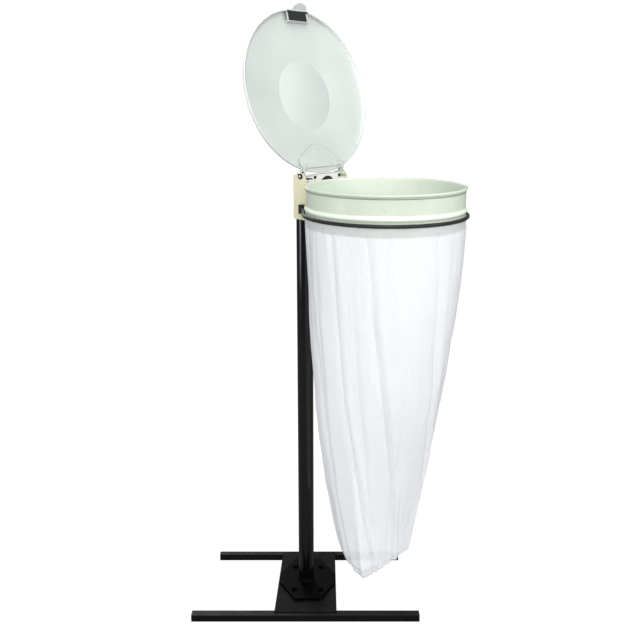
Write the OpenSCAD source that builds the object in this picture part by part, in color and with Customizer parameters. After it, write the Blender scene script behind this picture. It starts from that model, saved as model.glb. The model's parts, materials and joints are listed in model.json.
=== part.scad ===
// Free-standing waste-bag holder: H-shaped base, post, hinge bracket, hoop with a hanging bag and a lid.
// The origin is on the floor under the post. +X runs along the skids and +Z is up.
// The hoop, the bracket and the lid are turned 45 degrees on the post.

/* [Base] */
// Length of the front skid
front_skid_l = 642; // [500:1:760]
// Length of the rear skid
rear_skid_l = 564; // [460:1:700]
// Height of both skids
skid_h = 20; // [20:1:24]
// Depth of the front skid
front_skid_w = 25; // [22:1:30]
// Depth of the rear skid
rear_skid_w = 20; // [18:1:30]
// Wall of the skid tubes
skid_wall = 1.5; // [1:0.1:2.5]
// Distance from the post axis to the middle of the front skid
front_skid_y = 166; // [150:1:200]
// Distance from the post axis to the middle of the rear skid
rear_skid_y = 165; // [150:1:200]
// Sideways place of the rear skid's middle
rear_skid_x = 6; // [-10:1:10]
// Width of the base plate at the front
plate_w = 177; // [170:1:200]
// Thickness of the base plate
plate_t = 3; // [2:0.5:5]
// Thickness of the foot flange
flange_t = 8; // [5:0.5:12]
// Half width of the foot flange, across its side corners
flange_half_w = 83; // [70:1:84]
// Half length of the foot flange
flange_half_l = 112; // [90:1:130]

/* [Post] */
// Outer diameter of the post
post_d = 45; // [40:0.5:50]
// Wall of the post
post_wall = 2; // [1.5:0.1:3]
// Height of the top of the post above the floor
post_top = 1225; // [1205:1:1228]

/* [Hoop] */
// Outer radius of the rolled rim
hoop_r = 200; // [196:1:202]
// Distance from the post axis to the hoop's centre
hoop_s = 287; // [287:1:290]
// Height of the top of the rim above the floor
rim_z = 1232; // [1228:1:1234]
// Height of the hoop
hoop_h = 98; // [90:1:105]
// Height of the elastic band's centre line above the floor
band_z = 1161; // [1157:1:1163]
// Thickness of the elastic band
band_d = 9; // [7:0.5:9]

/* [Bag] */
// Height of the lowest point of the bag above the floor
bag_low_z = 225; // [180:5:400]
// Wall of the bag's solid
bag_wall = 1; // [0.8:0.1:1.4]

/* [Lid] */
// Outer radius of the lid
lid_r = 210; // [209.5:0.5:211]
// Depth of the lid's skirt
skirt_h = 12; // [11:0.5:14]
// Thickness of the lid's sheet
lid_t = 1.2; // [1:0.1:1.5]
// Angle from closed to fully open
lid_open = 105.1; // [100:0.1:106]

/* [Hidden] */
$fn = 96;
eps = 0.02;

// The hoop's direction on the post
hoop_turn = 45;
module at_hoop() { rotate([0, 0, -hoop_turn]) children(); }

// Base
plate_z = skid_h;
plate_top = plate_z + plate_t;
flange_top = plate_top + flange_t;
cap_t = 2;
cap_plug_l = 12;
flange_shift = [4, 3];
flange_bolt_x = 39;
flange_bolt_y = 62;
bolt_r = 4;
bolt_hole_r = 4.3;
bolt_head_r = 7.5;
bolt_head_h = 5;
washer_r = 9;
washer_t = 1.5;

// Bracket and hinge, in the hoop's direction
bracket_s = 82.5;
bracket_t = 3;
bracket_front = bracket_s + bracket_t;
bracket_half_w = 78;
flange_rear_s = 40;
bracket_low_z = 1132;
shoulder_z = 1235;
tab_z = 1246;
tab_half_w = 50;
pin_s = 67.2;
pin_z = 1243.1;
pin_r = 3;
pin_hole_r = 3.06;
ear_in = 68.5;
ear_out = 70.5;
slit_half_w = 2;
stop_s = 59.08;
stop_z = 1246.22;
stop_r = 3;
access_hole_r = 24;
access_hole_z = 1214;
fix_hole_r = 3;
fix_hole_y = 44.5;
fix_hole_z = 1240;

// Adapter between the post and the bracket
adapter_low_z = 1142;
adapter_high_z = 1222;
adapter_t = 3;
adapter_half_w = 42;
adapter_screw_y = 34;
adapter_screw_z = [1152, 1212];
cross_bolt_z = [1162, 1202];
adapter_rear_s = -10;
cross_bolt_r = 3;
cross_hole_r = 3.2;
cross_head_r = 5.8;
screw_r = 3;
screw_hole_r = 3.2;

// Hoop profile
wall_r = 196;
wall_t = 1.4;
bead_low_z = 1168;
bead_high_z = 1184;
bead_out = 4;
roll_r = 3.5;
spacer_y = 52;
spacer_z = [1194, 1208];
spacer_bore_r = 3.05;

// Band
band_r = wall_r + 1.2 + band_d / 2 + 0.3;
clip_s = [68, 81];
clip_z = [1149, 1172];
clip_out = 10;
clip_rivet_s = 74.5;
clip_rivet_z = 1168;
clip_point = [clip_s[1], bracket_half_w + band_d / 2];

// Lid, drawn closed and then turned open about the pin
lid_s = 283;
lid_z = 1236;
dish_r = 89;
crown_rise = 7;
crown_start_r = lid_r - 5;
leaf_s = 87;
ear_start_s = leaf_s + 2.5;
dish_depth = 4;
leaf_t = 2;
leaf_top = lid_z + skirt_h - lid_t - 0.3;
leaf_tilt = 3.4;
ear_end_s = 100;
handle_turn = 1.7;
handle_bend = 40;
handle_r = 25;
handle_tab_l = 18;
handle_tab_y = 12;
handle_y = [-34, 40];
handle_reach = 30;
handle_t = 1.5;
buffer_l = 25;
buffer_w = 62;
buffer_t = 2.2;
buffer_lip_l = 4;
handle_rivet_r = 2;
handle_rivet_y = 35.5;
handle_rivet_out = [-23, -11];

module lid_place() {
    at_hoop() translate([pin_s, 0, pin_z]) rotate([0, -lid_open, 0]) translate([-pin_s, 0, -pin_z]) children();
}

module both_sides() {
    children();
    mirror([0, 1, 0]) children();
}

module tube_skid(l, w, h) {
    difference() {
        translate([-l / 2, -w / 2, 0]) cube([l, w, h]);
        translate([-l / 2 - 1, -w / 2 + skid_wall, skid_wall]) cube([l + 2, w - 2 * skid_wall, h - 2 * skid_wall]);
    }
}

module end_cap(w, h) {
    inner = skid_wall + 0.1;
    translate([0, -w / 2, 0]) cube([cap_t, w, h]);
    translate([-cap_plug_l, -w / 2 + inner, inner]) cube([cap_plug_l + eps, w - 2 * inner, h - 2 * inner]);
}

module skid_caps(l, w, h) {
    translate([l / 2, 0, 0]) end_cap(w, h);
    mirror([1, 0, 0]) translate([l / 2, 0, 0]) end_cap(w, h);
}

module front_skid() {
    color([0.07, 0.07, 0.08]) translate([0, -front_skid_y, 0]) tube_skid(front_skid_l, front_skid_w, skid_h);
}

module rear_skid() {
    color([0.07, 0.07, 0.08]) translate([rear_skid_x, rear_skid_y, 0]) tube_skid(rear_skid_l, rear_skid_w, skid_h);
}

module skid_end_caps() {
    color([0.04, 0.04, 0.04]) {
        translate([0, -front_skid_y, 0]) skid_caps(front_skid_l, front_skid_w, skid_h);
        translate([rear_skid_x, rear_skid_y, 0]) skid_caps(rear_skid_l, rear_skid_w, skid_h);
    }
}

module flange_bolt_places() {
    for (x = [-1, 1]) {
        for (y = [-1, 1]) {
            translate([flange_shift[0] + x * flange_bolt_x, flange_shift[1] + y * flange_bolt_y, 0]) children();
        }
    }
}

module base_plate() {
    half = plate_w / 2;
    color([0.14, 0.14, 0.15]) difference() {
        translate([0, 0, plate_z]) linear_extrude(plate_t)
            polygon([[-half, -front_skid_y + 1], [half, -front_skid_y + 1],
                     [half, rear_skid_y + 4], [-half + 12, rear_skid_y + 4]]);
        flange_bolt_places() translate([0, 0, plate_z - 1]) cylinder(r = bolt_hole_r, h = plate_t + 2, $fn = 32);
    }
}

module foot_flange() {
    corner = 20;
    flat = 37;
    color([0.05, 0.05, 0.055]) difference() {
        translate([flange_shift[0], flange_shift[1], plate_top]) linear_extrude(flange_t)
            polygon([[-flange_half_w, -corner], [-flat, -flange_half_l], [flat, -flange_half_l],
                     [flange_half_w, -corner], [flange_half_w, corner], [flat, flange_half_l],
                     [-flat, flange_half_l], [-flange_half_w, corner]]);
        flange_bolt_places() translate([0, 0, plate_top - 1]) cylinder(r = bolt_hole_r, h = flange_t + 2, $fn = 32);
    }
}

module flange_bolts() {
    head_z = flange_top + washer_t;
    color([0.1, 0.1, 0.1]) flange_bolt_places() {
        translate([0, 0, head_z]) cylinder(r = bolt_head_r, h = bolt_head_h, $fn = 6);
        translate([0, 0, 6]) cylinder(r = bolt_r, h = head_z - 6 + eps, $fn = 32);
    }
}

module ring(r_in, r_out, h) {
    difference() {
        cylinder(r = r_out, h = h, $fn = 48);
        translate([0, 0, -1]) cylinder(r = r_in, h = h + 2, $fn = 48);
    }
}

module flange_washers() {
    color([0.12, 0.12, 0.12]) flange_bolt_places() translate([0, 0, flange_top]) ring(bolt_hole_r, washer_r, washer_t);
}

module flange_nuts() {
    nut_h = 6.5;
    color([0.1, 0.1, 0.1]) flange_bolt_places() translate([0, 0, plate_z - nut_h]) difference() {
        cylinder(r = bolt_head_r, h = nut_h, $fn = 6);
        translate([0, 0, -1]) cylinder(r = bolt_r + 0.05, h = nut_h + 2, $fn = 32);
    }
}

module post() {
    color([0.05, 0.05, 0.055]) difference() {
        translate([0, 0, flange_top]) ring(post_d / 2 - post_wall, post_d / 2, post_top - flange_top);
        at_hoop() for (z = cross_bolt_z) {
            translate([0, -post_d, z]) rotate([-90, 0, 0]) cylinder(r = cross_hole_r, h = 2 * post_d, $fn = 32);
        }
    }
}

module post_weld_ring() {
    r = post_d / 2 + 0.05;
    color([0.06, 0.06, 0.06]) translate([0, 0, flange_top]) rotate_extrude()
        polygon([[r, 0], [r + 5, 0], [r + 3.4, 1.4], [r + 1.6, 3.2], [r, 6]]);
}

module post_cap() {
    inner_r = post_d / 2 - post_wall - 0.1;
    color([0.05, 0.05, 0.05]) translate([0, 0, post_top]) {
        cylinder(r = post_d / 2, h = 2.5);
        translate([0, 0, -14]) ring(inner_r - 2, inner_r, 14 + eps);
    }
}

module post_adapter() {
    inner = post_d / 2 + 0.1;
    high = adapter_high_z - adapter_low_z;
    color([0.06, 0.06, 0.06]) at_hoop() difference() {
        union() {
            translate([bracket_s - adapter_t, -adapter_half_w, adapter_low_z]) cube([adapter_t, 2 * adapter_half_w, high]);
            both_sides() translate([adapter_rear_s, inner, adapter_low_z])
                cube([bracket_s - adapter_t - adapter_rear_s + eps, adapter_t, high]);
        }
        for (z = cross_bolt_z) {
            translate([0, -post_d, z]) rotate([-90, 0, 0]) cylinder(r = cross_hole_r, h = 2 * post_d, $fn = 32);
        }
        for (z = adapter_screw_z) {
            both_sides() translate([bracket_s - adapter_t - 1, adapter_screw_y, z]) rotate([0, 90, 0])
                cylinder(r = screw_hole_r, h = adapter_t + 2, $fn = 32);
        }
    }
}

module adapter_bolts() {
    side = post_d / 2 + 0.1 + adapter_t;
    color([0.1, 0.1, 0.1]) at_hoop() for (z = cross_bolt_z) {
        translate([0, -side, z]) rotate([-90, 0, 0]) cylinder(r = cross_bolt_r, h = 2 * side + 7, $fn = 32);
        translate([0, -side, z]) rotate([90, 0, 0]) cylinder(r = cross_head_r, h = 4, $fn = 6);
    }
}

module adapter_nuts() {
    side = post_d / 2 + 0.1 + adapter_t;
    color([0.1, 0.1, 0.1]) at_hoop() for (z = cross_bolt_z) {
        translate([0, side, z]) rotate([-90, 0, 0]) difference() {
            cylinder(r = cross_head_r, h = 5, $fn = 6);
            translate([0, 0, -1]) cylinder(r = cross_bolt_r + 0.05, h = 7, $fn = 32);
        }
    }
}

module side_flange_outline() {
    polygon([[flange_rear_s + 4, bracket_low_z], [bracket_front, bracket_low_z], [bracket_front, shoulder_z],
             [74, 1250], [stop_s - 4, 1250], [stop_s - 8, 1245.5], [flange_rear_s, 1245.5],
             [flange_rear_s, bracket_low_z + 4]]);
    translate([pin_s, pin_z]) circle(r = 8.5);
}

module hinge_bracket() {
    color([0.88, 0.9, 0.83]) at_hoop() difference() {
        union() {
            translate([bracket_s, -bracket_half_w, bracket_low_z])
                cube([bracket_t, 2 * bracket_half_w, shoulder_z - bracket_low_z]);
            translate([bracket_s, -tab_half_w, shoulder_z - 1]) cube([bracket_t, 2 * tab_half_w, tab_z - shoulder_z + 1]);
            both_sides() translate([0, bracket_half_w, 0]) rotate([90, 0, 0])
                linear_extrude(bracket_t) side_flange_outline();
        }
        translate([pin_s, -100, pin_z]) rotate([-90, 0, 0]) cylinder(r = pin_hole_r, h = 200, $fn = 48);
        translate([stop_s, -100, stop_z]) rotate([-90, 0, 0]) cylinder(r = stop_r + 0.05, h = 200, $fn = 48);
        both_sides() translate([bracket_s - 5, (ear_in + ear_out) / 2 - slit_half_w, 1222])
            cube([20, 2 * slit_half_w, 40]);
        both_sides() translate([bracket_s - 1, fix_hole_y, fix_hole_z]) rotate([0, 90, 0])
            cylinder(r = fix_hole_r, h = 5, $fn = 32);
        translate([bracket_s - 1, 0, access_hole_z]) rotate([0, 90, 0]) cylinder(r = access_hole_r, h = 5);
        for (z = adapter_screw_z) {
            both_sides() translate([bracket_s - 1, adapter_screw_y, z]) rotate([0, 90, 0])
                cylinder(r = screw_hole_r, h = 5, $fn = 32);
        }
        for (z = spacer_z) {
            both_sides() translate([bracket_s - 1, spacer_y, z]) rotate([0, 90, 0])
                cylinder(r = screw_hole_r, h = 5, $fn = 32);
        }
    }
}

module bracket_screws() {
    rear = bracket_s - adapter_t - 6;
    color([0.15, 0.15, 0.15]) at_hoop() both_sides() for (z = adapter_screw_z) {
        translate([rear, adapter_screw_y, z]) rotate([0, 90, 0]) cylinder(r = screw_r, h = bracket_front - rear + eps, $fn = 32);
        translate([bracket_front, adapter_screw_y, z]) rotate([0, 90, 0]) cylinder(r = 5.5, h = 2.5, $fn = 32);
    }
}

module bracket_nuts() {
    color([0.15, 0.15, 0.15]) at_hoop() both_sides() for (z = adapter_screw_z) {
        translate([bracket_s - adapter_t - 5, adapter_screw_y, z]) rotate([0, 90, 0]) difference() {
            cylinder(r = 5.8, h = 5, $fn = 6);
            translate([0, 0, -1]) cylinder(r = screw_r + 0.05, h = 7, $fn = 32);
        }
    }
}

module access_hole_plug() {
    color([0.03, 0.03, 0.03]) at_hoop() translate([bracket_front, 0, access_hole_z]) rotate([0, 90, 0]) {
        cylinder(r = 27, h = 1.2);
        translate([0, 0, -bracket_t]) cylinder(r = access_hole_r - 0.1, h = bracket_t + eps);
    }
}

module fixing_hole_plugs() {
    color([0.03, 0.03, 0.03]) at_hoop() both_sides() translate([bracket_front, fix_hole_y, fix_hole_z]) rotate([0, 90, 0]) {
        cylinder(r = 4.5, h = 1, $fn = 32);
        translate([0, 0, -bracket_t]) cylinder(r = fix_hole_r - 0.05, h = bracket_t + eps, $fn = 32);
    }
}

// Half a sine wave for the bead, as points from its low edge to its high edge
function bead_points(r, n) = [for (i = [0:n]) [r + bead_out * sin(180 * i / n) ^ 1.5,
                                              bead_low_z + (bead_high_z - bead_low_z) * i / n]];
function back_to_front(v) = [for (i = [len(v) - 1:-1:0]) v[i]];

module hoop() {
    low = rim_z - hoop_h;
    roll_z = rim_z - roll_r;
    inner = wall_r - wall_t;
    color([0.82, 0.88, 0.8]) at_hoop() translate([hoop_s, 0, 0]) rotate_extrude($fn = 180) {
        polygon(concat([[wall_r, low]], bead_points(wall_r, 10), [[wall_r, roll_z], [inner, roll_z]],
                       back_to_front(bead_points(inner, 10)), [[inner, low]]));
        translate([hoop_r - roll_r, roll_z]) circle(r = roll_r, $fn = 32);
    }
}

module hoop_spacers() {
    color([0.5, 0.52, 0.5]) at_hoop() difference() {
        both_sides() for (z = spacer_z) {
            translate([bracket_front, spacer_y, z]) rotate([0, 90, 0]) ring(spacer_bore_r, 6, 20);
        }
        translate([hoop_s, 0, 1100]) cylinder(r = wall_r + 0.02, h = 130, $fn = 180);
    }
}

module hoop_screws() {
    color([0.2, 0.2, 0.2]) at_hoop() both_sides() for (z = spacer_z) {
        translate([bracket_s - 1.5, spacer_y, z]) rotate([0, 90, 0]) cylinder(r = 5, h = 1.5, $fn = 32);
        translate([bracket_s - 1.5, spacer_y, z]) rotate([0, 90, 0]) cylinder(r = screw_r, h = 13, $fn = 32);
    }
}

// Bag: outer outline at a share q of the way down, as [x of the middle, y of the middle, half width, half depth]
bag_top_z = 1157;
bag_mouth_z = 1130;
bag_mouth_r = wall_r + 2.4;
bag_mid = hoop_s * cos(hoop_turn);
function smooth(q) = q * q * (3 - 2 * q);
function bag_level(q) = [bag_mid - 15 * smooth(min(1, 2 * q)), -bag_mid - 13 * smooth(q),
                         bag_mouth_r - 105 * pow(q, 1.35) - 25 * pow(q, 24),
                         bag_mouth_r + 10 * sin(180 * q) - 42 * smooth(q)];
function bag_z(q) = bag_mouth_z + (bag_low_z - bag_mouth_z) * q;
bag_sides = 40;
bag_rings = 12;
function bag_ring(q, z, inset) = let (v = bag_level(q)) [for (i = [0:bag_sides - 1])
    let (a = 360 * i / bag_sides) [v[0] + (v[2] - inset) * cos(a), v[1] + (v[3] - inset) * sin(a), z]];
function bag_skin(inset, top, low) = concat(bag_ring(0, top, inset),
    [for (k = [0:bag_rings]) each bag_ring(k / bag_rings, max(bag_z(k / bag_rings), low), inset)]);

module bag_body(inset, top, low) {
    rows = bag_rings + 2;
    last = (rows - 1) * bag_sides;
    n = bag_sides;
    polyhedron(points = bag_skin(inset, top, low),
        faces = concat([[for (i = [n - 1:-1:0]) i]],
                       [for (k = [0:rows - 2]) for (i = [0:n - 1])
                           each [[k * n + i, k * n + (i + 1) % n, (k + 1) * n + (i + 1) % n],
                                 [k * n + i, (k + 1) * n + (i + 1) % n, (k + 1) * n + i]]],
                       [[for (i = [0:n - 1]) last + i]]));
}

module bag() {
    color([0.9, 0.91, 0.94, 0.4]) difference() {
        bag_body(0, bag_top_z, bag_low_z);
        bag_body(bag_wall, bag_top_z + 5, bag_low_z + bag_wall);
    }
}

// Where the straight run from a clip meets the round run, seen from the hoop's centre
clip_from_centre = [clip_point[0] - hoop_s, clip_point[1]];
clip_reach = norm(clip_from_centre);
clip_angle = atan2(clip_from_centre[1], clip_from_centre[0]);
band_end_angle = clip_angle - acos(band_r / clip_reach);
band_run = sqrt(clip_reach * clip_reach - band_r * band_r);

module elastic_band() {
    color([0.04, 0.04, 0.045]) at_hoop() translate([hoop_s, 0, band_z]) {
        rotate([0, 0, -band_end_angle]) rotate_extrude(angle = 2 * band_end_angle, $fn = 180)
            translate([band_r, 0]) circle(r = band_d / 2, $fn = 32);
        both_sides() rotate([0, 0, band_end_angle]) translate([band_r, -eps, 0]) rotate([-90, 0, 0])
            cylinder(r = band_d / 2, h = band_run + eps, $fn = 32);
    }
}

module band_clips() {
    color([0.03, 0.03, 0.03]) at_hoop() both_sides() difference() {
        translate([clip_s[0], bracket_half_w, clip_z[0]])
            cube([clip_s[1] - clip_s[0], clip_out, clip_z[1] - clip_z[0]]);
        translate([clip_rivet_s, bracket_half_w - 1, clip_rivet_z]) rotate([-90, 0, 0])
            cylinder(r = 2.05, h = 20, $fn = 32);
    }
}

module clip_rivets() {
    color([0.2, 0.2, 0.2]) at_hoop() both_sides() translate([clip_rivet_s, bracket_half_w, clip_rivet_z]) rotate([-90, 0, 0]) {
        cylinder(r = 2, h = clip_out + eps, $fn = 32);
        translate([0, 0, clip_out]) cylinder(r = 3.6, h = 1, $fn = 32);
    }
}

module hinge_pin() {
    half = bracket_half_w + 4;
    color([0.75, 0.76, 0.76]) at_hoop() translate([pin_s, -half, pin_z]) rotate([-90, 0, 0])
        cylinder(r = pin_r, h = 2 * half, $fn = 48);
}

module pin_spacers() {
    gap = bracket_half_w - bracket_t - ear_out - 0.4;
    color([0.8, 0.8, 0.78]) at_hoop() both_sides() translate([pin_s, ear_out + 0.2, pin_z]) rotate([-90, 0, 0])
        ring(pin_r + 0.06, 5.2, gap);
}

module pin_end_bushes() {
    color([0.03, 0.03, 0.03]) at_hoop() both_sides() translate([pin_s, bracket_half_w, pin_z]) rotate([-90, 0, 0])
        ring(pin_r, 7, 3);
}

module lid_stops() {
    inner = ear_in - 1.5;
    color([0.05, 0.05, 0.05]) at_hoop() both_sides() translate([stop_s, inner, stop_z]) rotate([-90, 0, 0])
        cylinder(r = stop_r, h = bracket_half_w - inner, $fn = 32);
}

// Lid profile from the skirt's edge to the middle: rounded corner, cone, then the round dish pressed inwards
function lid_outer(inset) = concat([[lid_r - inset, 0], [lid_r - inset, skirt_h - 2]],
    [for (a = [15:25:90]) [lid_r - 2 - inset + 2 * cos(a), skirt_h - 2 + (2 - inset) * sin(a)]],
    [[crown_start_r, skirt_h - inset]],
    [for (q = [1:-0.1:0]) [dish_r * q, skirt_h + crown_rise - inset - dish_depth * (1 - q * q)]]);

module lid_shell() {
    color([0.86, 0.9, 0.86]) lid_place() translate([lid_s, 0, lid_z]) rotate_extrude($fn = 180)
        polygon(concat(lid_outer(0), back_to_front(lid_outer(lid_t))));
}

module ear_outline() {
    polygon([[pin_s, pin_z - 5.4], [pin_s + 1.4, pin_z + 0.3], [78, 1250.2], [83.8, 1250.2],
             [83.8, lid_z - 0.6], [ear_start_s, lid_z - 0.6], [ear_start_s, leaf_top],
             [ear_end_s, leaf_top + 0.3], [ear_end_s, lid_z + 4], [95, lid_z - 2], [93, 1228.5], [82, 1228.5]]);
    translate([pin_s, pin_z]) circle(r = 5.4, $fn = 48);
}

module on_crown() {
    translate([leaf_s, 0, leaf_top]) rotate([0, -leaf_tilt, 0]) translate([-leaf_s, 0, -leaf_top]) children();
}

module leaf_rivet_places() {
    on_crown() for (p = [[96, -45], [96, 45], [134, 0]]) {
        translate([p[0], p[1], 0]) children();
    }
}

module lid_hinge_leaf() {
    color([0.86, 0.9, 0.86]) lid_place() difference() {
        union() {
            on_crown() translate([0, 0, leaf_top - leaf_t]) linear_extrude(leaf_t)
                polygon([[leaf_s, -60], [ear_start_s, -ear_out], [112, -ear_out], [146, -14], [146, 14], [112, ear_out],
                         [ear_start_s, ear_out], [leaf_s, 60]]);
            both_sides() translate([0, ear_out, 0]) rotate([90, 0, 0]) linear_extrude(ear_out - ear_in) ear_outline();
        }
        translate([pin_s, -100, pin_z]) rotate([-90, 0, 0]) cylinder(r = pin_hole_r, h = 200, $fn = 48);
    }
}

module leaf_rivets() {
    color([0.85, 0.88, 0.84]) lid_place() leaf_rivet_places() translate([0, 0, leaf_top - leaf_t - 1])
        cylinder(r = 3.5, h = 1, $fn = 32);
}

module ear_rivets() {
    color([0.04, 0.04, 0.04]) lid_place() both_sides() translate([76.5, ear_out, 1240.2]) rotate([-90, 0, 0])
        cylinder(r = 2.5, h = 1.3, $fn = 32);
}

module handle_place() {
    lid_place() translate([lid_s, 0, 0]) rotate([0, 0, handle_turn]) children();
}

module lid_handle() {
    inner_r = lid_r - handle_reach;
    handle_w = handle_y[1] - handle_y[0];
    color([0.88, 0.9, 0.86]) handle_place() translate([0, 0, lid_z - handle_t]) {
        translate([inner_r, handle_y[0], 0]) cube([handle_reach + 1, handle_w, handle_t]);
        translate([inner_r, handle_y[0], 0]) cube([handle_t, handle_w, handle_t + skirt_h - lid_t + 0.8]);
        translate([lid_r + 1 - eps, handle_tab_y, 0]) rotate([0, handle_bend, 0]) linear_extrude(handle_t)
            scale([handle_tab_l / handle_r, 1]) intersection() {
                circle(r = handle_r);
                translate([0, -handle_r]) square(2 * handle_r);
            }
    }
}

module lid_buffer() {
    lip_y = [handle_y[0] + 1, handle_y[1] - 0.5];
    color([0.03, 0.03, 0.035]) handle_place() translate([lid_r - 28, 0, lid_z - handle_t - buffer_t]) {
        translate([0, -buffer_w / 2, 0]) cube([buffer_l, buffer_w, buffer_t]);
        translate([buffer_l - buffer_lip_l, lip_y[0], 0]) cube([buffer_lip_l, lip_y[1] - lip_y[0], buffer_t]);
    }
}

module handle_rivets() {
    color([0.85, 0.88, 0.84]) handle_place() for (r = handle_rivet_out) {
        translate([lid_r + r, handle_rivet_y, lid_z - handle_t - 1]) cylinder(r = handle_rivet_r, h = 1, $fn = 32);
    }
}

front_skid();
rear_skid();
skid_end_caps();
base_plate();
foot_flange();
flange_bolts();
flange_washers();
flange_nuts();
post();
post_weld_ring();
post_cap();
post_adapter();
adapter_bolts();
adapter_nuts();
hinge_bracket();
bracket_screws();
bracket_nuts();
access_hole_plug();
fixing_hole_plugs();
hoop();
hoop_spacers();
hoop_screws();
bag();
elastic_band();
band_clips();
clip_rivets();
hinge_pin();
pin_spacers();
pin_end_bushes();
lid_stops();
lid_shell();
lid_hinge_leaf();
leaf_rivets();
ear_rivets();
lid_handle();
lid_buffer();
handle_rivets();
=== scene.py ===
"""Free-standing waste-bag holder with an open lid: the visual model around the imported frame."""

import json
import math

import bmesh
import bpy
import numpy as np
from mathutils import Matrix, Vector, noise


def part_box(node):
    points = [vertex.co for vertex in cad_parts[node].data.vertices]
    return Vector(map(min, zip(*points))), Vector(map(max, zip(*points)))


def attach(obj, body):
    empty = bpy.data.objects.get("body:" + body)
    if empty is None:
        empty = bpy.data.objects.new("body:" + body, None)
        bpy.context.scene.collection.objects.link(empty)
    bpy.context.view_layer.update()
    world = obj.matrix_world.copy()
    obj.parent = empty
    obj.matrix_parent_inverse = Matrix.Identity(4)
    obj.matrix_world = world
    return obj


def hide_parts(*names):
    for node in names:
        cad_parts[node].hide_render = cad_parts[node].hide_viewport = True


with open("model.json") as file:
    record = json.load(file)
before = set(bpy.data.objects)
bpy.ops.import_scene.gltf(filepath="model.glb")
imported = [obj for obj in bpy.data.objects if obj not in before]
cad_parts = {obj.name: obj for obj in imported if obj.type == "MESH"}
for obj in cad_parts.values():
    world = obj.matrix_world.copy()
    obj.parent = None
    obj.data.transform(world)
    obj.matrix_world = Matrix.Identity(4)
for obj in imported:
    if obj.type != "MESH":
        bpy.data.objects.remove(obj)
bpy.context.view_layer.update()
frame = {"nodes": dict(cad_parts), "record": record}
record = frame["record"]
nodes = frame["nodes"]


# ---------------------------------------------------------------- where things are
def middle(node):
    low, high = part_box(node)
    return (low + high) / 2


rim_low, rim_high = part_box("hoop")
HOOP_X = (rim_low.x + rim_high.x) / 2
HOOP_Y = (rim_low.y + rim_high.y) / 2
RIM_R = (rim_high.x - rim_low.x) / 2
RIM_TOP = rim_high.z
HOOP_LOW = rim_low.z
WALL_R = RIM_R - 0.004
BAND_Z = middle("elastic_band").z
HINGE = middle("hinge_pin")
OUT = Vector((math.sqrt(0.5), -math.sqrt(0.5), 0.0))
SIDE = Vector((-math.sqrt(0.5), -math.sqrt(0.5), 0.0))
# along OUT, the face of the bracket's plate; along SIDE, the inner face of its front flange
PLATE_BACK = 0.0825
FLANGE_INNER = 0.075
# heights of the painted highlight on the hoop's bead and of the painted shadow in the slot under its curl
BEAD_HIGHLIGHT_Z = HOOP_LOW + 0.043
CURL_SHADE_Z = RIM_TOP - 0.0105


# ---------------------------------------------------------------- camera
CAMERA_PLACE = (0.0464, -2.3845, 1.4748)
CAMERA_DOWN = 14.68
CAMERA_LENS = 50.66
CAMERA_SHIFT = -0.0108


def make_camera():
    data = bpy.data.cameras.new("camera")
    data.sensor_width = 36.0
    data.lens = CAMERA_LENS
    data.shift_x = CAMERA_SHIFT
    camera = bpy.data.objects.new("camera", data)
    camera.location = CAMERA_PLACE
    camera.rotation_euler = (math.radians(90 - CAMERA_DOWN), 0.0, 0.0)
    bpy.context.scene.collection.objects.link(camera)
    bpy.context.scene.camera = camera


make_camera()


# ---------------------------------------------------------------- lights, floor and view
# brightness of the white room and floor: as seen, as soft light, and in reflections
ROOM_WHITE = 1.05
ROOM_LIGHT = 0.5
ROOM_SHINE = 0.32
FLOOR_WHITE = 0.9
FLOOR_LIGHT = 0.3
FLOOR_TONE = 0.25
FLOOR_HALF = 60.0
FLOOR_DROP = 0.0004


def aim_light(name, data, place, target):
    light = bpy.data.objects.new(name, data)
    light.location = place
    light.rotation_euler = (Vector(target) - Vector(place)).to_track_quat("-Z", "Y").to_euler()
    bpy.context.scene.collection.objects.link(light)


def area_light(name, place, target, size, power, colour=(1.0, 1.0, 1.0)):
    data = bpy.data.lights.new(name, "AREA")
    data.shape = "RECTANGLE"
    data.size, data.size_y = size
    data.energy = power
    data.color = colour
    aim_light(name, data, place, target)


def spot_light(name, place, target, angle, power, radius):
    data = bpy.data.lights.new(name, "SPOT")
    data.energy = power
    data.spot_size = math.radians(angle)
    data.spot_blend = 0.3
    data.shadow_soft_size = radius
    aim_light(name, data, place, target)


def ray_shares(tree, camera, diffuse, glossy):
    """A strength with its own share for the camera, for soft light on the object and for reflections."""
    path = tree.nodes.new("ShaderNodeLightPath")
    total = None
    rays = ("Is Camera Ray", "Is Diffuse Ray", "Is Glossy Ray")
    for ray, share in zip(rays, (camera, diffuse, glossy)):
        part = tree.nodes.new("ShaderNodeMath")
        part.operation = "MULTIPLY_ADD"
        part.inputs[1].default_value = share
        part.inputs[2].default_value = 0.0
        tree.links.new(path.outputs[ray], part.inputs[0])
        if total is not None:
            tree.links.new(total, part.inputs[2])
        total = part.outputs["Value"]
    return total


def make_world():
    """White paper all round: white to the camera, dimmer as a light source."""
    world = bpy.data.worlds.new("studio")
    bpy.context.scene.world = world
    world.use_nodes = True
    tree = world.node_tree
    background = tree.nodes["Background"]
    background.inputs["Color"].default_value = (1.0, 1.0, 1.0, 1.0)
    tree.links.new(ray_shares(tree, ROOM_WHITE, ROOM_LIGHT, ROOM_SHINE), background.inputs["Strength"])


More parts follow.
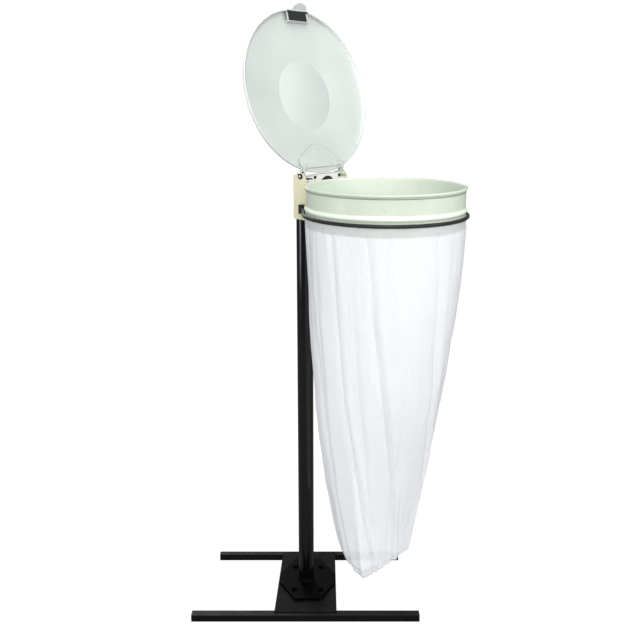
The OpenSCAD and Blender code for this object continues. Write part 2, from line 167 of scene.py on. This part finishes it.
def make_floor():
    mesh = bpy.data.meshes.new("floor")
    half = FLOOR_HALF
    corners = [(-half, -half, 0), (half, -half, 0), (half, half, 0), (-half, half, 0)]
    mesh.from_pydata(corners, [], [(0, 1, 2, 3)])
    floor = bpy.data.objects.new("floor", mesh)
    floor.location.z = -FLOOR_DROP
    bpy.context.scene.collection.objects.link(floor)
    material = bpy.data.materials.new("floor")
    material.use_nodes = True
    shader = material.node_tree.nodes["Principled BSDF"]
    shader.inputs["Base Color"].default_value = (FLOOR_TONE, FLOOR_TONE, FLOOR_TONE, 1.0)
    shader.inputs["Roughness"].default_value = 1.0
    shader.inputs["Specular IOR Level"].default_value = 0.0
    shader.inputs["Emission Color"].default_value = (1.0, 1.0, 1.0, 1.0)
    tree = material.node_tree
    tree.links.new(ray_shares(tree, FLOOR_WHITE, FLOOR_LIGHT, 0.0), shader.inputs["Emission Strength"])
    mesh.materials.append(material)


make_world()
make_floor()
area_light("key", (0.1, -3.3, 2.0), (0.1, -0.1, 1.0), (1.1, 1.3), 36.0)
area_light("fill", (2.7, -1.8, 2.0), (0.2, -0.2, 0.9), (1.2, 1.8), 32.0, (0.94, 0.97, 1.0))
area_light("strip", (-2.6, -1.2, 0.72), (0.0, 0.0, 0.95), (1.3, 0.7), 12.0, (0.82, 0.9, 1.0))
area_light("back", (-1.2, 3.0, 2.6), (0.0, 0.0, 1.2), (1.6, 1.6), 30.0)
area_light("top", (0.3, -1.5, 3.5), (0.2, -0.2, 0.9), (1.6, 1.6), 30.0)
spot_light("side", (-1.9, -2.6, 1.9), (0.02, 0.02, 1.49), 8.4, 430.0, 0.25)
bpy.context.scene.view_settings.view_transform = "Standard"


# ---------------------------------------------------------------- materials
class Nodes:
    """Short calls for building one material's node tree."""

    def __init__(self, name):
        self.material = bpy.data.materials.new(name)
        self.material.use_nodes = True
        self.tree = self.material.node_tree
        self.shader = self.tree.nodes["Principled BSDF"]
        self.where = self.add("ShaderNodeTexCoord").outputs["Object"]

    def add(self, kind, **settings):
        node = self.tree.nodes.new(kind)
        for key, value in settings.items():
            setattr(node, key, value)
        return node

    def link(self, out, into):
        self.tree.links.new(out, into)

    def noise(self, scale, detail=3.0, rough=0.5, stretch=None, where=None):
        node = self.add("ShaderNodeTexNoise")
        node.inputs["Scale"].default_value = scale
        node.inputs["Detail"].default_value = detail
        node.inputs["Roughness"].default_value = rough
        source = where or self.where
        if stretch:
            mapping = self.add("ShaderNodeMapping")
            mapping.inputs["Scale"].default_value = stretch
            self.link(source, mapping.inputs["Vector"])
            source = mapping.outputs["Vector"]
        self.link(source, node.inputs["Vector"])
        return node.outputs["Fac"]

    def ramp(self, fac, stops):
        node = self.add("ShaderNodeValToRGB")
        elements = node.color_ramp.elements
        while len(elements) < len(stops):
            elements.new(0.5)
        for element, (place, colour) in zip(elements, stops):
            element.position = place
            element.color = tuple(colour) + (1.0,) if len(colour) == 3 else colour
        self.link(fac, node.inputs["Fac"])
        return node.outputs["Color"]

    def span(self, fac, low, high, from_low=0.0, from_high=1.0):
        node = self.add("ShaderNodeMapRange")
        node.inputs["From Min"].default_value = from_low
        node.inputs["From Max"].default_value = from_high
        node.inputs["To Min"].default_value = low
        node.inputs["To Max"].default_value = high
        self.link(fac, node.inputs["Value"])
        return node.outputs["Result"]

    def maths(self, operation, a, b=None):
        node = self.add("ShaderNodeMath", operation=operation)
        for k, value in enumerate((a, b)):
            if value is None:
                continue
            if isinstance(value, (int, float)):
                node.inputs[k].default_value = value
            else:
                self.link(value, node.inputs[k])
        return node.outputs["Value"]

    def mix(self, fac, a, b):
        node = self.add("ShaderNodeMix", data_type="RGBA")
        for name, value in (("Factor", fac), ("A", a), ("B", b)):
            kind = "VALUE" if name == "Factor" else "RGBA"
            socket = [s for s in node.inputs if s.name == name and s.type == kind][0]
            if isinstance(value, (tuple, float)):
                socket.default_value = value if isinstance(value, float) else tuple(value) + (1.0,)
            else:
                self.link(value, socket)
        return [s for s in node.outputs if s.type == "RGBA"][0]

    def bump(self, layers):
        """layers are (height, distance) pairs, coarse first."""
        normal = None
        for height, distance in layers:
            node = self.add("ShaderNodeBump")
            node.inputs["Distance"].default_value = distance
            node.inputs["Strength"].default_value = 1.0
            self.link(height, node.inputs["Height"])
            if normal is not None:
                self.link(normal, node.inputs["Normal"])
            normal = node.outputs["Normal"]
        self.link(normal, self.shader.inputs["Normal"])

    def set(self, **values):
        for key, value in values.items():
            self.shader.inputs[key.replace("_", " ")].default_value = value


def tint(colour, share):
    return tuple(max(0.0, min(1.0, c * share)) for c in colour)


def edge_mask(n, radius, low, high):
    """1 along sharp edges, fading out over radius."""
    bevel = n.add("ShaderNodeBevel", samples=4)
    bevel.inputs["Radius"].default_value = radius
    geometry = n.add("ShaderNodeNewGeometry")
    dot = n.add("ShaderNodeVectorMath", operation="DOT_PRODUCT")
    n.link(bevel.outputs["Normal"], dot.inputs[0])
    n.link(geometry.outputs["Normal"], dot.inputs[1])
    return n.span(dot.outputs["Value"], 1.0, 0.0, low, high)


def upward(n, low, high):
    """1 on faces that look up."""
    geometry = n.add("ShaderNodeNewGeometry")
    parts = n.add("ShaderNodeSeparateXYZ")
    n.link(geometry.outputs["Normal"], parts.inputs["Vector"])
    return n.span(parts.outputs["Z"], 0.0, 1.0, low, high)


def from_axis(n, x, y):
    """Distance from an upright axis through (x, y), and the height."""
    parts = n.add("ShaderNodeSeparateXYZ")
    n.link(n.where, parts.inputs["Vector"])
    across = n.maths("POWER", n.maths("SUBTRACT", parts.outputs["X"], x), 2.0)
    along = n.maths("POWER", n.maths("SUBTRACT", parts.outputs["Y"], y), 2.0)
    return n.maths("SQRT", n.maths("ADD", across, along)), parts.outputs["Z"]


def along_line(n, direction):
    """How far a point lies along a direction."""
    dot = n.add("ShaderNodeVectorMath", operation="DOT_PRODUCT")
    dot.inputs[1].default_value = direction
    n.link(n.where, dot.inputs[0])
    return dot.outputs["Value"]


def hoop_coat(n, base, colour):
    """A lighter inner wall as painted light, a painted highlight on the bead, and a painted shadow in the
    slot under the curl.
    """
    radius, height = from_axis(n, HOOP_X, HOOP_Y)
    outside = n.span(radius, 0.0, 1.0, WALL_R - 0.0009, WALL_R - 0.0004)
    # painted light: the inner wall is painted 4 % lighter than the outside
    base = n.mix(outside, tint(colour, 1.04), base)
    # painted highlight: the bead's outer face is painted 35 % lighter
    bead_highlight = n.span(n.maths("ABSOLUTE", n.maths("SUBTRACT", height, BEAD_HIGHLIGHT_Z)), 1.0, 0.0, 0.003, 0.007)
    base = n.mix(n.maths("MULTIPLY", outside, bead_highlight), base, tint(colour, 1.35))
    # painted shadow: a dark band on the outer wall just under the curl
    slot = n.span(n.maths("ABSOLUTE", n.maths("SUBTRACT", height, CURL_SHADE_Z)), 0.85, 0.0, 0.0008, 0.0024)
    return n.mix(n.maths("MULTIPLY", outside, slot), base, tint(colour, 0.3))


def plate_painted_light(n, base, colour):
    """Painted light: the bracket's plate is painted paler than its side flanges, though both are one sheet.
    """
    face = n.span(along_line(n, OUT), 0.0, 1.0, PLATE_BACK - 0.001, PLATE_BACK)
    inner = n.span(along_line(n, SIDE), 0.0, 1.0, FLANGE_INNER, FLANGE_INNER + 0.002)
    # painted light: the plate's face gets a paler colour
    return n.mix(n.maths("MULTIPLY", face, n.maths("SUBTRACT", 1.0, inner)), base, (0.72, 0.74, 0.68))


def stop_coat(n, base, colour):
    """The stops' ends are black, the rest is painted with the bracket."""
    near_end = n.span(along_line(n, SIDE), 0.0, 1.0, FLANGE_INNER, FLANGE_INNER + 0.002)
    return n.mix(near_end, (0.66, 0.66, 0.6), base)


def leaf_edge_painted_shade(n, base, colour):
    """Painted shade: a fine darker line along the leaf's cut edges."""
    return n.mix(n.maths("MULTIPLY", edge_mask(n, 0.0026, 0.8, 0.99), 0.75), base, tint(colour, 0.5))


def powder_coat(name, colour, rough, peel=0.00005, dust=0.0, wear=0.25, shine=0.5, extra=None):
    """Baked paint: orange peel, cloudy tone, a little dust on top and thin, paler edges."""
    n = Nodes(name)
    cloud = n.noise(5.0, 4.0)
    base = n.ramp(cloud, [(0.35, tint(colour, 0.94)), (0.65, tint(colour, 1.05))])
    speck = n.noise(240.0, 2.0, 0.7)
    base = n.mix(n.span(speck, 0.0, 0.12, 0.55, 0.75), base, tint(colour, 1.25))
    if dust:
        patches = n.span(n.noise(16.0, 6.0, 0.65), 0.0, dust, 0.4, 0.75)
        base = n.mix(n.maths("MULTIPLY", upward(n, 0.75, 1.0), patches), base, (0.33, 0.32, 0.3))
    worn = n.span(n.noise(60.0, 5.0, 0.7), 0.0, wear, 0.42, 0.7)
    edges = n.maths("MULTIPLY", edge_mask(n, 0.0012, 0.86, 0.995), worn)
    base = n.mix(edges, base, tint(tuple(0.5 * c + 0.12 for c in colour), 1.2))
    if extra:
        base = extra(n, base, colour)
    n.link(base, n.shader.inputs["Base Color"])
    gloss = n.span(n.noise(28.0, 5.0, 0.6), rough - 0.06, rough + 0.09, 0.3, 0.7)
    n.link(gloss, n.shader.inputs["Roughness"])
    n.bump([(n.noise(90.0, 2.0), peel * 2), (n.noise(620.0, 2.0), peel)])
    n.set(Specular_IOR_Level=shine)
    return n.material


def moulded_plastic(name, colour, rough):
    n = Nodes(name)
    base = n.ramp(n.noise(30.0, 4.0), [(0.3, tint(colour, 0.85)), (0.7, tint(colour, 1.2))])
    n.link(base, n.shader.inputs["Base Color"])
    n.link(n.span(n.noise(70.0, 4.0), rough - 0.08, rough + 0.1, 0.3, 0.7), n.shader.inputs["Roughness"])
    n.bump([(n.noise(1500.0, 2.0, 0.6), 0.00004)])
    return n.material


def bare_metal(name, colour, rough):
    n = Nodes(name)
    n.set(Metallic=1.0)
    base = n.ramp(n.noise(45.0, 5.0, 0.65), [(0.3, tint(colour, 0.8)), (0.7, tint(colour, 1.1))])
    n.link(base, n.shader.inputs["Base Color"])
    gloss = n.span(n.noise(120.0, 4.0, 0.6), rough - 0.1, rough + 0.15, 0.3, 0.7)
    n.link(gloss, n.shader.inputs["Roughness"])
    n.bump([(n.noise(300.0, 3.0, 0.6, stretch=(1.0, 1.0, 8.0)), 0.00003)])
    return n.material


def rubber(name, colour):
    """Black rubber with a fine grain, a grey bloom and a dull sheen."""
    n = Nodes(name)
    bloom = n.span(n.noise(25.0, 5.0, 0.65), 0.0, 0.35, 0.45, 0.8)
    base = n.mix(bloom, colour, tuple(0.6 * c + 0.035 for c in colour))
    n.link(base, n.shader.inputs["Base Color"])
    n.link(n.span(n.noise(50.0, 4.0), 0.42, 0.6, 0.3, 0.7), n.shader.inputs["Roughness"])
    n.bump([(n.noise(140.0, 3.0, 0.6), 0.00012), (n.noise(900.0, 2.0), 0.00004)])
    return n.material


# stands in for the light that scatters inside the film
FILM_GLOW = 0.14


def film(name, colour):
    """Thin milky polyethylene: it softens the light behind it and keeps fine creases from its folding."""
    n = Nodes(name)
    n.link(n.ramp(n.noise(7.0, 4.0, 0.55, stretch=(1.0, 1.0, 0.35)),
                  [(0.3, tint(colour, 0.97)), (0.7, tint(colour, 1.02))]), n.shader.inputs["Base Color"])
    n.link(n.span(n.noise(35.0, 5.0, 0.6), 0.3, 0.46, 0.3, 0.7), n.shader.inputs["Roughness"])
    n.set(Transmission_Weight=0.12, IOR=1.05, Coat_Weight=0.5, Coat_Roughness=0.22)
    height = from_axis(n, HOOP_X, HOOP_Y)[1]
    n.link(n.span(height, 0.76, 0.6, HOOP_LOW - 0.004, HOOP_LOW + 0.002), n.shader.inputs["Alpha"])
    n.set(Emission_Color=(0.95, 0.965, 1.0, 1.0), Emission_Strength=FILM_GLOW)
    n.bump([(n.noise(9.0, 5.0, 0.6, stretch=(1.0, 1.0, 0.25)), 0.014),
            (n.noise(34.0, 6.0, 0.7, stretch=(1.0, 1.0, 0.4)), 0.0045), (n.noise(420.0, 3.0), 0.00015)])
    return n.material


def make_materials():
    return {
        "black_powder_coat": powder_coat("black_powder_coat", (0.004, 0.0044, 0.0044), 0.42, dust=0.03,
                                         shine=0.18),
        "post_black": powder_coat("post_black", (0.002, 0.0021, 0.0028), 0.15, peel=0.000002, shine=0.5),
        "plate_black": powder_coat("plate_black", (0.0055, 0.0052, 0.0048), 0.5, dust=0.02, shine=0.08),
        "flange_black": powder_coat("flange_black", (0.0007, 0.0007, 0.0009), 0.42, dust=0.003, shine=0.04),
        "black_plastic": moulded_plastic("black_plastic", (0.012, 0.012, 0.011), 0.42),
        "black_steel": bare_metal("black_steel", (0.05, 0.05, 0.052), 0.4),
        "cream_paint": powder_coat("cream_paint", (0.66, 0.635, 0.43), 0.38, extra=plate_painted_light),
        "hoop_paint": powder_coat("hoop_paint", (0.65, 0.72, 0.6), 0.3, wear=0.06, extra=hoop_coat),
        "leaf_paint": powder_coat("leaf_paint", (0.575, 0.61, 0.58), 0.36, extra=leaf_edge_painted_shade),
        "stop_paint": powder_coat("stop_paint", (0.01, 0.01, 0.01), 0.4, extra=stop_coat),
        "lid_paint": powder_coat("lid_paint", (0.575, 0.607, 0.58), 0.36),
        "zinc_steel": bare_metal("zinc_steel", (0.7, 0.71, 0.72), 0.32),
        "white_nylon": moulded_plastic("white_nylon", (0.72, 0.72, 0.68), 0.4),
        "band_rubber": rubber("band_rubber", (0.012, 0.013, 0.013)),
        "bag_film": film("bag_film", (0.82, 0.825, 0.85)),
    }


MATERIALS = make_materials()
NODE_FINISH = {"lid_hinge_leaf": "leaf_paint", "lid_stops": "stop_paint", "flange_bolts": "flange_black",
               "flange_washers": "flange_black"}


def dress_nodes():
    for part in record["subparts"]:
        mesh = nodes[part["node"]].data
        mesh.materials.clear()
        mesh.materials.append(MATERIALS[NODE_FINISH.get(part["node"], part["material_slot"])])


dress_nodes()


# ---------------------------------------------------------------- helpers for pieces
def mesh_object(name, points, faces, slot, body):
    mesh = bpy.data.meshes.new(name)
    mesh.from_pydata([tuple(p) for p in points], [], [tuple(f) for f in faces])
    mesh.update()
    piece = bpy.data.objects.new(name, mesh)
    bpy.context.scene.collection.objects.link(piece)
    mesh.materials.append(MATERIALS[slot])
    for polygon in mesh.polygons:
        polygon.use_smooth = True
    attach(piece, body)
    return piece


def grid_faces(rows, around):
    """Four-sided faces between neighbouring rings of points."""
    faces = []
    for k in range(rows - 1):
        for i in range(around):
            after = (i + 1) % around
            faces.append((k * around + i, k * around + after, (k + 1) * around + after, (k + 1) * around + i))
    return faces


def lathe(name, profile, centre, slot, body, around):
    """A closed ring profile of (radius, height) points turned round the upright through centre."""
    points = []
    for radius, height in profile:
        for k in range(around):
            angle = 2 * math.pi * k / around
            x = centre[0] + radius * math.cos(angle)
            y = centre[1] + radius * math.sin(angle)
            points.append((x, y, height))
    return mesh_object(name, points, grid_faces(len(profile), around), slot, body)


def arc(middle_r, middle_z, radius, start, end, steps):
    """Profile points on a circle, angles in degrees from straight out, turning up."""
    return [(middle_r + radius * math.cos(math.radians(a)), middle_z + radius * math.sin(math.radians(a)))
            for a in np.linspace(start, end, steps)]


# ---------------------------------------------------------------- hoop
SHEET = 0.0012
BEAD_LOW = HOOP_LOW + 0.034
BEAD_HIGH = BEAD_LOW + 0.016
BEAD_OUT = 0.004
CURL_R = 0.0036
HOOP_AROUND = 288


def hoop_wall(radius, rising):
    """The wall with its pressed bead, from the lower edge up to the curl, or back down."""
    places = [(radius, HOOP_LOW), (radius, BEAD_LOW - 0.0015)]
    for share in np.linspace(0, 1, 13):
        out = BEAD_OUT * math.sin(math.pi * share) ** 1.3
        places.append((radius + out, BEAD_LOW + (BEAD_HIGH - BEAD_LOW) * float(share)))
    places.append((radius, BEAD_HIGH + 0.0015))
    places.append((radius, RIM_TOP - 2 * CURL_R - 0.0035))
    return places if rising else places[::-1]


def make_hoop():
    """Sheet-metal hoop: a pressed bead near the band and an open curl over its top edge."""
    outer = WALL_R
    inner = WALL_R - SHEET
    curl_z = RIM_TOP - CURL_R
    curl_mid = RIM_R - CURL_R
    profile = hoop_wall(outer, True)
    profile.append((outer, curl_z - CURL_R - 0.0028))
    profile.append((inner, curl_z - CURL_R - 0.0022))
    profile.append((inner, curl_z - CURL_R + 0.0004))
    profile += arc(curl_mid, curl_z, CURL_R - SHEET, 180, -90, 19)
    profile += arc(curl_mid, curl_z, CURL_R, -90, 180, 19)
    profile += hoop_wall(inner, False)
    profile.append(profile[0])
    hoop = lathe("hoop_ring", profile, (HOOP_X, HOOP_Y), "hoop_paint", "stand", HOOP_AROUND)
    weld_rings(hoop)
    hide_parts("hoop")


def weld_rings(piece):
    """Join the doubled first and last rings of a lathed profile."""
    mesh = bmesh.new()
    mesh.from_mesh(piece.data)
    bmesh.ops.remove_doubles(mesh, verts=mesh.verts, dist=0.00001)
    bmesh.ops.recalc_face_normals(mesh, faces=mesh.faces)
    mesh.to_mesh(piece.data)
    mesh.free()


make_hoop()


# ---------------------------------------------------------------- lid
LID_OPEN = math.radians(105.1)
OPENED = Matrix.Translation(HINGE) @ Matrix.Rotation(LID_OPEN, 4, SIDE) @ Matrix.Translation(-HINGE)
CLOSED = OPENED.inverted()


def closed_box(node):
    """Corners of a lid node with the lid laid shut."""
    places = [CLOSED @ v.co for v in nodes[node].data.vertices]
    low = Vector(min(p[k] for p in places) for k in range(3))
    high = Vector(max(p[k] for p in places) for k in range(3))
    return low, high


lid_low, lid_high = closed_box("lid_shell")
LID_X = (lid_low.x + lid_high.x) / 2
LID_Y = (lid_low.y + lid_high.y) / 2
LID_R = (lid_high.x - lid_low.x) / 2
LID_Z = lid_low.z
LID_TOP = lid_high.z
# the CAD lid's crown is 7 mm high, so its shoulder lies that far below its top
SHOULDER = LID_TOP - 0.007
SHOULDER_R = 0.003
CROWN = 0.010
DISH_R = 0.089
DISH_DEPTH = 0.006
HEM_R = 0.0017
# the dish sits off the lid's middle, and the shift fades out towards the flat rim
DISH_SHIFT = -0.006 * OUT - 0.004 * SIDE
FLAT_RIM = 0.012
LID_AROUND = 240


def lid_skin(down):
    """The lid's sheet from shoulder to middle, as (radius, height), a distance down from its outer face."""
    places = []
    for a in (0, 25, 50, 75, 90):
        bend = SHOULDER_R - down
        turn = math.radians(a)
        out = LID_R - SHOULDER_R + bend * math.cos(turn)
        places.append((out, SHOULDER - SHOULDER_R + bend * math.sin(turn)))
    start = places[-1][0] - 0.002
    for share in (0.0, 0.02, 0.25, 0.5, 0.75, 0.97, 0.99, 1.0):
        places.append((start + (DISH_R - start) * share, SHOULDER + CROWN * share - down))
    for share in (0.99, 0.97, 0.9, 0.8, 0.7, 0.6, 0.5, 0.4, 0.3, 0.2, 0.1, 0.03, 0.0):
        places.append((DISH_R * share, SHOULDER + CROWN - DISH_DEPTH * (1 - share * share) - down))
    return places


def make_lid():
    """Pressed steel lid: rolled hem, low cone and a round dish pressed into its middle."""
    profile = lid_skin(SHEET)[::-1]
    profile.append((LID_R - SHEET, LID_Z + 2 * HEM_R))
    profile += arc(LID_R - SHEET + HEM_R, LID_Z + HEM_R, HEM_R, 180, 450, 15)
    profile.append((LID_R, LID_Z + 2 * HEM_R + 0.0004))
    profile += lid_skin(0.0)
    points = []
    for radius, height in profile:
        inward = (LID_R - FLAT_RIM - radius) / (LID_R - FLAT_RIM - DISH_R)
        shift = DISH_SHIFT * min(1.0, max(0.0, inward))
        for k in range(LID_AROUND):
            angle = 2 * math.pi * k / LID_AROUND
            place = Vector((LID_X + radius * math.cos(angle), LID_Y + radius * math.sin(angle), height))
            points.append(OPENED @ (place + shift))
    lid = mesh_object("lid_disc", points, grid_faces(len(profile), LID_AROUND), "lid_paint", "lid")
    weld_rings(lid)
    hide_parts("lid_shell")


make_lid()


# ---------------------------------------------------------------- bag
AROUND = 480
DOWN = 190
BAG_MOUTH_Z = HOOP_LOW
BAG_EDGE_Z = 0.262
TIP_ANGLE = math.radians(-119)
SOFTEN = 5
FILM_OFF_WALL = 0.0012
FOLD_SEED = 7
PLEAT_SEED = 11
CRUMPLE = 0.0022
# ends of the weld line across the bag's underside, in plan
WELD_NEAR = np.array([0.1585, -0.345])
WELD_FAR = np.array([0.206, -0.085])

# Height, middle x and half width of the hanging film in metres, from the hoop down, matched to the photo
OUTLINE = np.array([
    (1.134, 0.2035, 0.1990), (1.043, 0.2040, 0.1945), (0.950, 0.2020, 0.1875), (0.855, 0.1985, 0.1785),
    (0.759, 0.1955, 0.1695), (0.660, 0.1905, 0.1580), (0.559, 0.1880, 0.1440), (0.455, 0.1870, 0.1300),
    (0.350, 0.1870, 0.1120), (0.290, 0.1885, 0.1000), (0.262, 0.1890, 0.0930),
])


def ease(t):
    t = np.clip(t, 0.0, 1.0)
    return t * t * (3 - 2 * t)


def kite(theta):
    """Outline of the folded bottom, as plan positions for the angles theta."""
    corners = [(-119.0, (0.140, -0.354)), (-60.0, (0.224, -0.294)), (-10.0, (0.289, -0.222)),
               (80.0, (0.215, -0.062)), (130.0, (0.122, -0.112)), (178.0, (0.080, -0.213)),
               (215.0, (0.098, -0.288))]
    corners.append((corners[0][0] + 360.0, corners[0][1]))
    angle = (np.degrees(theta) - corners[0][0]) % 360.0 + corners[0][0]
    places = [c[0] for c in corners]
    x = np.interp(angle, places, [c[1][0] for c in corners])
    y = np.interp(angle, places, [c[1][1] for c in corners])
    kernel = np.hanning(2 * SOFTEN + 1)
    kernel /= kernel.sum()

    def soften(v):
        return np.convolve(np.concatenate([v[-SOFTEN:], v, v[:SOFTEN]]), kernel, "valid")

    return soften(x), soften(y)


def bag_surface():
    """The unfolded hanging film: round under the hoop, flattening into the kite at the bottom."""
    theta = np.linspace(0, 2 * math.pi, AROUND, endpoint=False)
    q = np.linspace(0, 1, DOWN) ** 1.05
    z = BAG_MOUTH_Z + (BAG_EDGE_Z - BAG_MOUTH_Z) * q
    mid_x = np.interp(-z, -OUTLINE[:, 0], OUTLINE[:, 1])[:, None]
    half_x = np.interp(-z, -OUTLINE[:, 0], OUTLINE[:, 2])[:, None]
    mid_y = HOOP_Y - 0.012 * ease(q)
    half_y = 0.1985 + 0.006 * np.sin(math.pi * q) - 0.048 * ease(q)
    kx, ky = kite(theta)
    flat = ease((q - 0.4) / 0.6)[:, None]
    x = (mid_x + half_x * np.cos(theta)) * (1 - flat) + kx * flat
    y = (mid_y[:, None] + half_y[:, None] * np.sin(theta)) * (1 - flat) + ky * flat
    # keep the outline's width at every height
    low = x.min(1, keepdims=True)
    high = x.max(1, keepdims=True)
    x = mid_x + (x - (low + high) / 2) * half_x / ((high - low) / 2)
    return theta, q, x, y, np.repeat(z[:, None], AROUND, 1)


# Long creases: shares of the way down, the angles there in degrees, depth in metres, half width in radians
CREASES = [
    ([0.0, 0.28, 0.45, 0.58, 0.85, 1.0], [-134, -129, -126, -121, -108, -93], 0.0075, 0.040),
    ([0.0, 0.22, 0.48, 0.70, 1.0], [-107, -101, -89, -77, -50], 0.0085, 0.040),
    ([0.0, 0.30, 0.55, 0.8], [-56, -47, -36, -12], 0.0065, 0.055),
    ([0.0, 0.5, 1.0], [-152, -150, -140], 0.004, 0.05),
    ([0.0, 0.35, 1.0], [-80, -72, -66], 0.003, 0.06),
    ([0.0, 0.4, 0.8, 1.0], [-120, -112, -100, -84], 0.0028, 0.035),
]


def crease(theta, q, line, amount, width):
    """One sharp inward crease with a soft ridge on its far side."""
    gap = (theta[None, :] - line[:, None] + math.pi) % (2 * math.pi) - math.pi
    valley = np.exp(-np.abs(gap / width) ** 1.2)
    ridge = 0.45 * np.exp(-(((gap - 2.4 * width) / (1.5 * width)) ** 2))
    return amount * (valley - ridge)


def long_folds(theta, q):
    """Inward fold depth over the film: the long creases in front, and softer ones all round."""
    rng = np.random.default_rng(FOLD_SEED)
    depth = np.zeros((len(q), len(theta)))
    grow = (0.45 + 0.55 * ease(q * 2.0))[:, None]
    for places, angles, amount, width in CREASES:
        line = np.radians(np.interp(q, places, angles)) + 0.012 * np.sin(9 * q + places[1] * 7)
        end = (1 - ease((q - places[-1] + 0.06) / 0.06))[:, None] if places[-1] < 1 else 1.0
        depth += crease(theta, q, line, amount, width) * grow * end
    count = 11
    for k in range(count):
        start = math.radians(5 + 205 * (k + rng.uniform(0.1, 0.9)) / count)
        drift = rng.uniform(-0.2, 0.4)
        amount = rng.uniform(0.0025, 0.006)
        line = start + drift * q ** 1.2 + 0.03 * np.sin(6 * q + k)
        depth += crease(theta, q, line, amount, rng.uniform(0.04, 0.09)) * grow
    return depth


def gathers(theta, q):
    """Small pleats where the band pinches the film, dying out below the hoop."""
    rng = np.random.default_rng(PLEAT_SEED)
    wave = np.zeros_like(theta)
    for turns in (23, 37, 52):
        wave += rng.uniform(0.5, 1.0) * np.sin(turns * theta + rng.uniform(0, 6.28))
    patch = 0.5 + 0.5 * np.sin(3 * theta + 1.0) * np.sin(5 * theta)
    return 0.0006 * (wave * patch)[None, :] * np.exp(-q[:, None] / 0.05)


def crumple(x, y, z):
    """Fine, upright-stretched unevenness all over the film."""
    out = np.zeros_like(x)
    for i in range(x.shape[0]):
        for j in range(x.shape[1]):
            p = Vector((x[i, j] * 16, y[i, j] * 16, z[i, j] * 6))
            out[i, j] = noise.fractal(p, 0.9, 2.1, 3)
    return out


def fold_in(x, y, depth):
    """Move every point in by its fold depth, square to its ring."""
    dx = np.roll(x, -1, 1) - np.roll(x, 1, 1)
    dy = np.roll(y, -1, 1) - np.roll(y, 1, 1)
    length = np.hypot(dx, dy)
    return x - depth * dy / length, y + depth * dx / length


def keep_off_hoop(x, y, z):
    """Over the hoop's wall the film can't go in further than the sheet metal."""
    over = z > HOOP_LOW - 0.003
    radius = np.hypot(x - HOOP_X, y - HOOP_Y)
    push = np.where(over, np.maximum(1.0, (WALL_R + FILM_OFF_WALL) / radius), 1.0)
    return HOOP_X + (x - HOOP_X) * push, HOOP_Y + (y - HOOP_Y) * push


def collar_rings(theta):
    """The film under the band, each ring as a height from the band's middle and a distance off the wall."""
    rings = []
    for up, off in ((0.0035, 0.0007), (0.0, 0.0007), (-0.004, 0.0009), (-0.008, 0.0016), (-0.014, 0.0024),
                    (-0.020, 0.0027)):
        height = BAND_Z + up
        wave = gathers(theta, np.array([0.0]))[0] * min(1.0, max(0.0, (BAND_Z - 0.003 - height) / 0.01))
        r = np.maximum(WALL_R + off - wave, WALL_R + 0.0006)
        plan = [HOOP_X + r * np.cos(theta), HOOP_Y + r * np.sin(theta)]
        rings.append(np.stack(plan + [np.full(AROUND, height)], 1))
    return rings


def flap_rings(theta, edge):
    """The bottom corner hangs below a crease as a folded flap."""
    off_tip = (theta - TIP_ANGLE + math.pi) % (2 * math.pi) - math.pi
    tip = np.cos(np.clip(off_tip, -math.pi / 2, math.pi / 2)) ** 1.5
    inward = np.array([HOOP_X, HOOP_Y]) - edge[:, :2]
    inward /= np.hypot(inward[:, 0], inward[:, 1])[:, None]
    rings = []
    for share in (0.06, 0.3, 0.6, 0.85, 1.0):
        plan = edge[:, :2] + inward * (0.001 + 0.010 * share * tip)[:, None]
        rings.append(np.column_stack([plan, edge[:, 2] - share * (0.009 + 0.016 * tip)]))
    return rings


def underside_rings(low):
    """From the flap's lower edge in to the weld line."""
    across = WELD_FAR - WELD_NEAR
    along = np.clip(((low[:, :2] - WELD_NEAR) @ across) / (across @ across), 0.0, 1.0)
    weld = WELD_NEAR + along[:, None] * across
    rings = []
    for share, lift in ((0.04, 0.002), (0.3, 0.008), (0.6, 0.012), (0.85, 0.014), (0.985, 0.010)):
        plan = low[:, :2] * (1 - share) + weld * share
        rings.append(np.column_stack([plan, low[:, 2] + lift]))
    return rings


def make_bag():
    """The film bag: a collar under the band, the hanging film, the folded corner and the underside."""
    theta, q, x, y, z = bag_surface()
    depth = long_folds(theta, q) + gathers(theta, q)
    depth += CRUMPLE * crumple(x, y, z) * ease(q * 4)[:, None]
    x, y = fold_in(x, y, depth)
    x, y = keep_off_hoop(x, y, z)
    hanging = [np.stack([x[k], y[k], z[k]], 1) for k in range(DOWN)]
    flap = flap_rings(theta, hanging[-1])
    rings = collar_rings(theta) + hanging + flap + underside_rings(flap[-1])
    points = np.concatenate(rings)
    bag = mesh_object("bag_film", points, grid_faces(len(rings), AROUND), "bag_film", "stand")
    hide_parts("bag")


make_bag()
